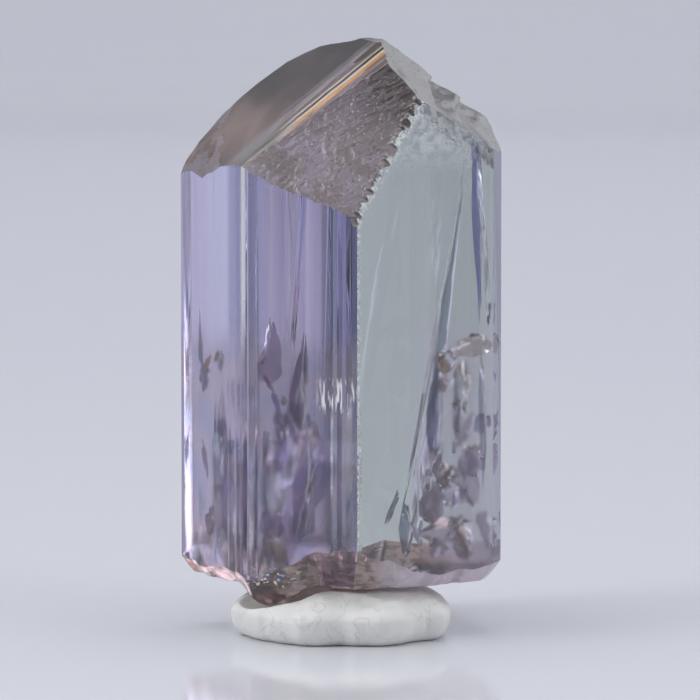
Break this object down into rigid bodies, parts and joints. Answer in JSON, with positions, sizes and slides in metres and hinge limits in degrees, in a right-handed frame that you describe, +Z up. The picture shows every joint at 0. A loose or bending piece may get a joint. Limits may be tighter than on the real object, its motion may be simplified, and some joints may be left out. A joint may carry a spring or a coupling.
{
  "type": "tanzanite crystal",
  "caption": "Natural tanzanite crystal: a clear violet-blue striated prism with a roof-like etched top and a broken base, standing on a pressed dab of white mineral putty.",
  "frame": {"origin": "middle of the putty's flat underside, on the surface that the specimen stands on", "axes": "+Z up along the crystal's prism axis, -Y to the front, where the vertical edge between the violet and the grey-green face points"},
  "size_m": [0.0098, 0.0096, 0.0179],
  "materials": {
    "crystal": "clear gem crystal, glassy faces, etched and frosted at the top, broken at the base",
    "putty": "matt white kneaded putty with faint grey creases"
  },
  "bodies": {
    "root": {"tanzanite_crystal": "crystal", "mineral_putty": "putty"}
  },
  "joints": []
}
